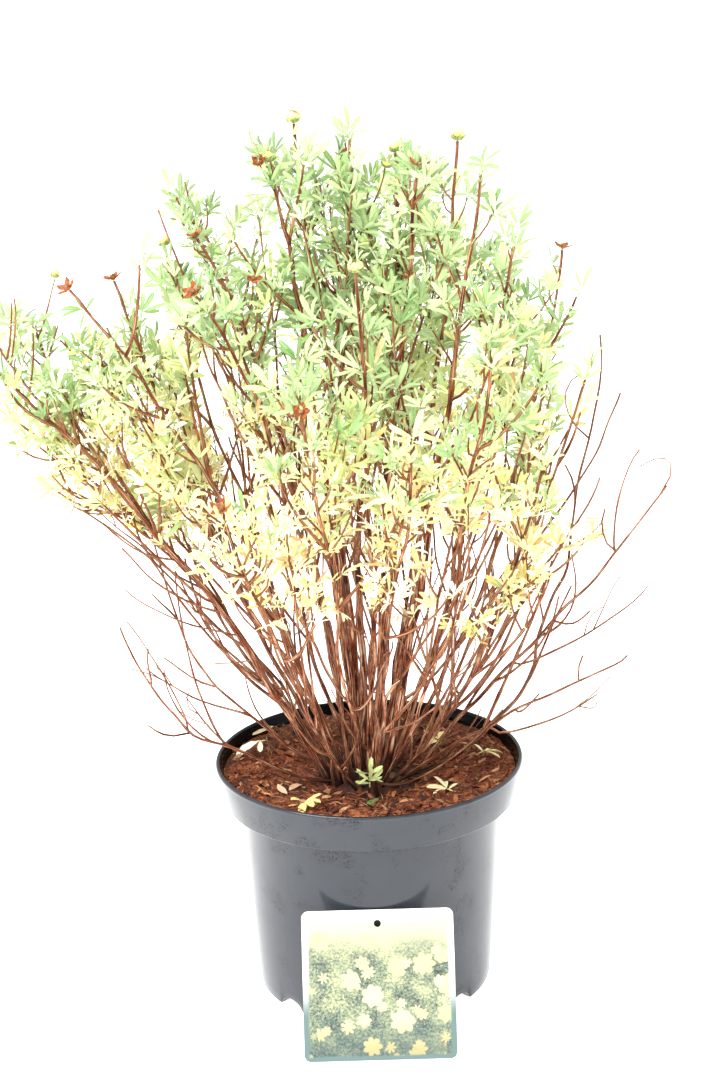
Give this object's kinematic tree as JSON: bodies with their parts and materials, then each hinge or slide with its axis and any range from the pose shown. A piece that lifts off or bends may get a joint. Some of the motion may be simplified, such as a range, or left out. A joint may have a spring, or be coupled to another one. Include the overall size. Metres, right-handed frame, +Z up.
{
  "type": "potted goldfinger shrubby cinquefoil",
  "caption": "Shrubby cinquefoil with leafy woody stems, half-open flowers and dry seed heads in a round nursery pot of soil, with a picture card leaning on the pot",
  "frame": {"origin": "On the pot's axis, at the underside of its base, on the surface that the pot stands on", "axes": "+Z up along the pot's axis, -Y towards the front, where the card leans, +X to the right as seen from the front"},
  "size_m": [0.4027, 0.3935, 0.5332],
  "materials": {
    "pot_plastic": "anthracite moulded plastic, glossy with dust and dried water marks",
    "soil": "loose bark and peat mix",
    "bark": "fibrous peeling bark",
    "green_leaf": "thin soft leaf",
    "yellow_leaf": "thin soft leaf, yellowing",
    "petal": "soft petal",
    "seed_head": "dry papery sepals round a woolly button",
    "card": "printed plastic card"
  },
  "bodies": {
    "root": {"basal_leaf": "green_leaf", "fallen_leaf_1": "yellow_leaf", "fallen_leaf_2": "yellow_leaf", "fallen_leaf_3": "yellow_leaf", "fallen_leaf_4": "yellow_leaf", "fallen_leaf_5": "yellow_leaf", "flower_1": "petal", "flower_2": "petal", "flower_3": "petal", "flower_4": "petal", "flower_5": "petal", "flower_6": "petal", "flower_7": "petal", "label_card": "card", "leafy_stem_01": "green_leaf", "leafy_stem_02": "yellow_leaf", "leafy_stem_03": "green_leaf", "leafy_stem_04": "green_leaf", "leafy_stem_05": "green_leaf", "leafy_stem_06": "green_leaf", "leafy_stem_07": "green_leaf", "leafy_stem_08": "green_leaf", "leafy_stem_09": "green_leaf", "leafy_stem_10": "green_leaf", "leafy_stem_11": "green_leaf", "leafy_stem_12": "green_leaf", "leafy_stem_13": "green_leaf", "leafy_stem_14": "green_leaf", "leafy_stem_15": "green_leaf", "leafy_stem_16": "green_leaf", "leafy_stem_17": "green_leaf", "leafy_stem_18": "green_leaf", "leafy_stem_19": "green_leaf", "leafy_stem_20": "yellow_leaf", "leafy_stem_21": "green_leaf", "leafy_stem_22": "green_leaf", "leafy_stem_23": "yellow_leaf", "leafy_stem_24": "yellow_leaf", "leafy_stem_25": "yellow_leaf", "leafy_stem_26": "yellow_leaf", "leafy_stem_27": "yellow_leaf", "leafy_stem_28": "yellow_leaf", "leafy_stem_29": "green_leaf", "leafy_stem_30": "yellow_leaf", "leafy_stem_31": "yellow_leaf", "pot": "pot_plastic", "potting_soil": "soil", "seed_head_1": "seed_head", "seed_head_2": "seed_head", "seed_head_3": "seed_head", "seed_head_4": "seed_head", "seed_head_5": "seed_head", "seed_head_6": "seed_head", "seed_head_7": "seed_head", "seed_head_8": "seed_head", "woody_framework": "bark"}
  },
  "joints": []
}
